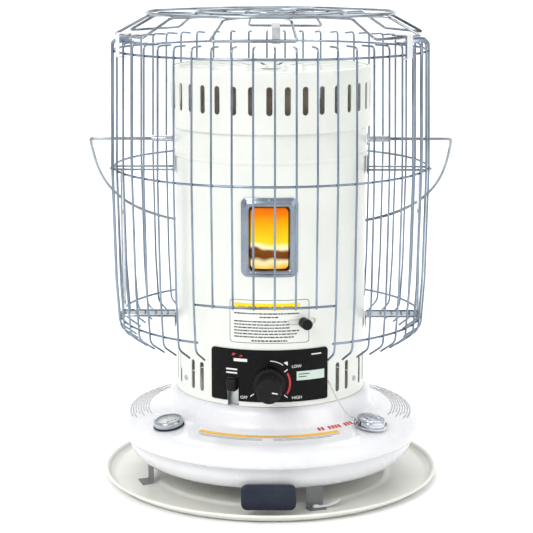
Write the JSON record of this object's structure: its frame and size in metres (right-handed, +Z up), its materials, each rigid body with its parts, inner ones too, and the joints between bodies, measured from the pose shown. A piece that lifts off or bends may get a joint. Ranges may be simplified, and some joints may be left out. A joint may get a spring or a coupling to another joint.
{
  "type": "kerosene heater",
  "caption": "Round convection kerosene heater: tank on a drip tray, slotted casing with a flame window, wire guard, top grille and swinging bail handle.",
  "frame": {"origin": "centre of the drip tray's underside, on the surface it stands on", "axes": "+Z up, -Y towards the front with the control panel, +X to the right seen from the front"},
  "size_m": [0.5024, 0.47, 0.65],
  "materials": {
    "tray_enamel": "gloss enamel",
    "tank_enamel": "gloss enamel",
    "casing_enamel": "gloss enamel",
    "zinc_steel": "zinc plated",
    "bright_wire": "bright plated",
    "chrome": "bright plated",
    "black_plastic": "satin moulded",
    "navy_plastic": "satin moulded",
    "gloss_black": "gloss printed",
    "white_dial": "matt",
    "clear_glass": "polished",
    "mica": "clear sheet",
    "stainless": "heat tinted",
    "wick_fibre": "woven glass fibre",
    "cell": "printed sleeve"
  },
  "bodies": {
    "root": {"drip_tray": "tray_enamel", "tank_pan": "tank_enamel", "tank_cover": "tank_enamel", "filler_neck": "zinc_steel", "cap_chain": "chrome", "gauge_gasket": "black_plastic", "gauge_bezel": "chrome", "gauge_dial": "white_dial", "gauge_lens": "clear_glass", "ignition_bracket": "zinc_steel", "casing": "casing_enamel", "casing_collar": "casing_enamel", "top_plate": "casing_enamel", "window_frame": "chrome", "window_mica": "mica", "control_panel": "gloss_black", "shutoff_bracket": "zinc_steel", "wick_housing": "zinc_steel", "chimney": "stainless", "tip_bracket": "zinc_steel", "battery_case": "black_plastic", "cell_left": "cell", "cell_right": "cell", "guard_front": "bright_wire", "guard_side_left": "bright_wire", "guard_side_right": "bright_wire", "guard_rear_side_left": "bright_wire", "guard_rear_side_right": "bright_wire", "guard_rear_left": "bright_wire", "guard_rear_right": "bright_wire", "top_grille": "chrome", "top_clip_left": "zinc_steel", "top_clip_right": "zinc_steel", "top_clip_rear": "zinc_steel", "side_arm_left": "zinc_steel", "side_arm_right": "zinc_steel", "upper_stay_left": "chrome", "upper_stay_right": "chrome", "bail_bracket_left": "zinc_steel", "bail_bracket_right": "zinc_steel"},
    "bail": {"bail_handle": "chrome"},
    "wick_control": {"wick_knob": "black_plastic", "wick_shaft": "zinc_steel"},
    "wick_sleeve": {"wick": "wick_fibre"},
    "shutoff": {"shutoff_lever": "black_plastic"},
    "ignition": {"ignition_pad": "navy_plastic", "ignition_arm": "zinc_steel"},
    "igniter_rod": {"igniter": "zinc_steel"},
    "burner": {"burner_outer": "stainless", "burner_inner": "stainless", "glass_cylinder": "clear_glass", "burner_knob": "black_plastic"},
    "cap_ring": {"chain_ring": "chrome"},
    "cap": {"fuel_cap": "chrome"},
    "float": {"gauge_float": "black_plastic"},
    "needle": {"gauge_needle": "black_plastic"},
    "cell_door": {"battery_cover": "black_plastic"},
    "pendulum": {"tip_weight": "zinc_steel"},
    "latch": {"tray_latch": "zinc_steel"}
  },
  "joints": [
    {"name": "bail_swing", "type": "hinge", "parent": "root", "child": "bail", "pos_m": [0, 0, 0.4754], "axis": [1, 0, 0], "range_deg": [0, 250]},
    {"name": "wick_turn", "type": "hinge", "parent": "root", "child": "wick_control", "pos_m": [0, -0.14, 0.162], "axis": [0, 1, 0], "range_deg": [-225, 29]},
    {"name": "wick_lift", "type": "slide", "parent": "root", "child": "wick_sleeve", "axis": [0, 0, 1], "range_m": [-0.0126, 0.0018]},
    {"name": "shutoff_slide", "type": "slide", "parent": "root", "child": "shutoff", "axis": [0, 0, -1], "range_m": [0, 0.016], "stiffness_N_per_m": 100, "springref_m": -0.005},
    {"name": "ignition_press", "type": "hinge", "parent": "root", "child": "ignition", "pos_m": [0, -0.12, 0.02], "axis": [1, 0, 0], "range_deg": [0, 5], "stiffness_Nm_per_rad": 2, "springref_deg": -5.73},
    {"name": "igniter_slide", "type": "slide", "parent": "root", "child": "igniter_rod", "axis": [0.9397, -0.342, 0], "range_m": [0, 0.0051]},
    {"name": "burner_turn", "type": "hinge", "parent": "root", "child": "burner", "pos_m": [0, 0, 0.3], "axis": [0, 0, 1], "range_deg": [-6, 6]},
    {"name": "cap_lift", "type": "slide", "parent": "root", "child": "cap_ring", "axis": [0.1212, -0.0989, 0.9877], "range_m": [0, 0.045]},
    {"name": "cap_turn", "type": "hinge", "parent": "cap_ring", "child": "cap", "pos_m": [0.1364, -0.1112, 0.0967], "axis": [0.1212, -0.0989, 0.9877], "range_deg": [0, 90]},
    {"name": "float_swing", "type": "hinge", "parent": "root", "child": "float", "pos_m": [-0.1317, -0.1074, 0.056], "axis": [0.8736, 0.4866, 0], "range_deg": [-20, 20]},
    {"name": "needle_turn", "type": "hinge", "parent": "root", "child": "needle", "pos_m": [-0.1364, -0.1112, 0.0967], "axis": [-0.1212, -0.0989, 0.9877], "range_deg": [-61, 61]},
    {"name": "cell_door_swing", "type": "hinge", "parent": "root", "child": "cell_door", "pos_m": [0, 0.2326, 0.027], "axis": [-1, 0, 0], "range_deg": [0, 85]},
    {"name": "pendulum_swing", "type": "hinge", "parent": "root", "child": "pendulum", "pos_m": [-0.07, 0.06, 0.1715], "axis": [1, 0, 0], "range_deg": [-6, 6]},
    {"name": "latch_turn", "type": "hinge", "parent": "root", "child": "latch", "pos_m": [0.06293, -0.1729, 0.0043], "axis": [0, 0, -1], "range_deg": [0, 90]}
  ],
  "couplings": [
    {"joint": "wick_lift", "follows": "wick_turn", "m_per_rad": 0.003158},
    {"joint": "igniter_slide", "follows": "ignition_press", "m_per_rad": 0.0573},
    {"joint": "needle_turn", "follows": "float_swing", "ratio": -3}
  ]
}
